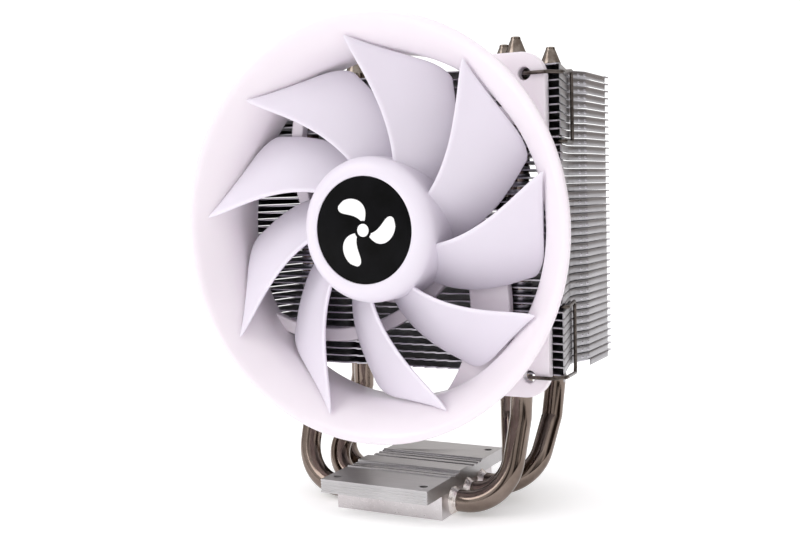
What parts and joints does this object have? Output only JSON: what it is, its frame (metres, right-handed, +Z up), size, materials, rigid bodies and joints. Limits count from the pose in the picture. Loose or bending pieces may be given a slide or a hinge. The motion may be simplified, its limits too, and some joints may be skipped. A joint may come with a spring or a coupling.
{
  "type": "cpu tower cooler",
  "caption": "Tower heatsink with U-shaped heat pipes through a stack of thin fins, a flat cold plate, and a round ducted fan held by wire clips.",
  "frame": {"origin": "middle of the cold plate's contact face, which lies on the processor", "axes": "+Z up, away from the processor, along the fin stack; the fan faces -Y; +X to the right seen from the fan"},
  "size_m": [0.152, 0.091, 0.1812],
  "materials": {
    "base_metal": "machined, nickel tone",
    "plate_metal": "extruded, satin",
    "solder": "bright, rounded",
    "pipe_metal": "nickel plated, polished",
    "fin_metal": "plain rolled sheet",
    "frame_plastic": "smooth, half gloss",
    "impeller_plastic": "smooth",
    "bearing_bronze": "sintered",
    "pad_plastic": "plain",
    "core_steel": "laminated",
    "insulator": "plain",
    "copper_wire": "enamelled wire",
    "board": "board with solder mask",
    "badge_plastic": "gloss",
    "yoke_steel": "drawn",
    "magnet": "plastic-bonded ferrite",
    "shaft_steel": "ground",
    "clip_wire": "spring wire, dark"
  },
  "bodies": {
    "cooler": {"cold_plate": "base_metal", "mounting_plate": "plate_metal", "solder_collars": "solder", "heat_pipe_front": "pipe_metal", "heat_pipe_middle": "pipe_metal", "heat_pipe_rear": "pipe_metal", "bottom_fin": "fin_metal", "fin_stack": "fin_metal", "top_fin": "fin_metal", "fan_frame": "frame_plastic", "bearing_sleeve": "bearing_bronze", "thrust_pad": "pad_plastic", "stator_core": "core_steel", "winding_bobbin": "insulator", "stator_windings": "copper_wire", "motor_board": "board", "rear_cover": "frame_plastic"},
    "fan_rotor": {"impeller": "impeller_plastic", "hub_badge": "badge_plastic", "rotor_yoke": "yoke_steel", "rotor_magnet": "magnet", "shaft": "shaft_steel", "retaining_ring": "insulator"},
    "clip_top_left": {"wire_clip_top_left": "clip_wire"},
    "clip_top_right": {"wire_clip_top_right": "clip_wire"},
    "clip_bottom_left": {"wire_clip_bottom_left": "clip_wire"},
    "clip_bottom_right": {"wire_clip_bottom_right": "clip_wire"}
  },
  "joints": [
    {"name": "fan_spin", "type": "hinge", "parent": "cooler", "child": "fan_rotor", "pos_m": [0, -0.037, 0.10517], "axis": [0, -1, 0], "continuous": true},
    {"name": "clip_top_left_release", "type": "hinge", "parent": "cooler", "child": "clip_top_left", "pos_m": [-0.0525, -0.0134, 0.15767], "axis": [0, 0, 1], "range_deg": [0, 35]},
    {"name": "clip_top_right_release", "type": "hinge", "parent": "cooler", "child": "clip_top_right", "pos_m": [0.0525, -0.0134, 0.15767], "axis": [0, 0, -1], "range_deg": [0, 35]},
    {"name": "clip_bottom_left_release", "type": "hinge", "parent": "cooler", "child": "clip_bottom_left", "pos_m": [-0.0525, -0.0134, 0.05267], "axis": [0, 0, 1], "range_deg": [0, 35]},
    {"name": "clip_bottom_right_release", "type": "hinge", "parent": "cooler", "child": "clip_bottom_right", "pos_m": [0.0525, -0.0134, 0.05267], "axis": [0, 0, -1], "range_deg": [0, 35]}
  ]
}
